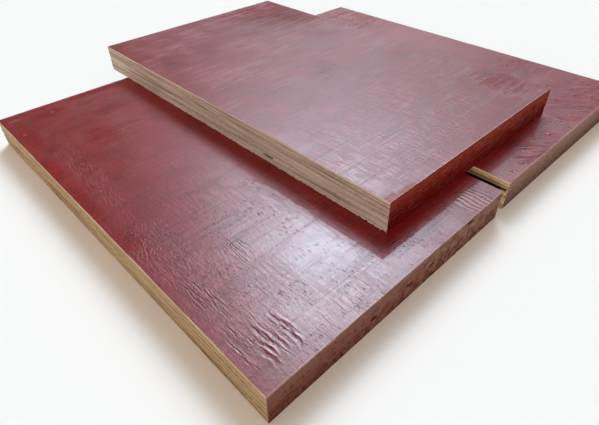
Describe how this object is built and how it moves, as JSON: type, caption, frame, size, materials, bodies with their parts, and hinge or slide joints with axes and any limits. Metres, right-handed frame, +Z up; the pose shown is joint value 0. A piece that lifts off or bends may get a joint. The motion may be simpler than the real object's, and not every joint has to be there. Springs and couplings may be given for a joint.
{
  "type": "stack of film-faced plywood boards",
  "caption": "Small stack of red film-faced plywood offcuts: two boards side by side and one laid across the gap between them.",
  "frame": {"origin": "centre of the stack's bounding box in plan, on the surface that the two lower boards lie on", "axes": "+X along the row of the two lower boards, from the left one to the right one; +Y along each board's length, away from the red-sealed ends; +Z up"},
  "size_m": [0.3716, 0.325, 0.04],
  "materials": {
    "red_film": "gloss",
    "veneer_across": "matte",
    "veneer_along": "matte"
  },
  "bodies": {
    "root": {"left_board_face_film": "red_film", "left_board_ply_01": "veneer_along", "left_board_ply_02": "veneer_across", "left_board_ply_03": "veneer_along", "left_board_ply_04": "veneer_across", "left_board_ply_05": "veneer_along", "left_board_ply_06": "veneer_across", "left_board_ply_07": "veneer_along", "left_board_ply_08": "veneer_across", "left_board_ply_09": "veneer_along", "left_board_ply_10": "veneer_across", "left_board_ply_11": "veneer_along", "left_board_back_film": "red_film", "right_board_face_film": "red_film", "right_board_ply_01": "veneer_along", "right_board_ply_02": "veneer_across", "right_board_ply_03": "veneer_along", "right_board_ply_04": "veneer_across", "right_board_ply_05": "veneer_along", "right_board_ply_06": "veneer_across", "right_board_ply_07": "veneer_along", "right_board_ply_08": "veneer_across", "right_board_ply_09": "veneer_along", "right_board_ply_10": "veneer_across", "right_board_ply_11": "veneer_along", "right_board_back_film": "red_film", "top_board_face_film": "red_film", "top_board_ply_01": "veneer_along", "top_board_ply_02": "veneer_across", "top_board_ply_03": "veneer_along", "top_board_ply_04": "veneer_across", "top_board_ply_05": "veneer_along", "top_board_ply_06": "veneer_across", "top_board_ply_07": "veneer_along", "top_board_ply_08": "veneer_across", "top_board_ply_09": "veneer_along", "top_board_ply_10": "veneer_across", "top_board_ply_11": "veneer_along", "top_board_back_film": "red_film"}
  },
  "joints": []
}
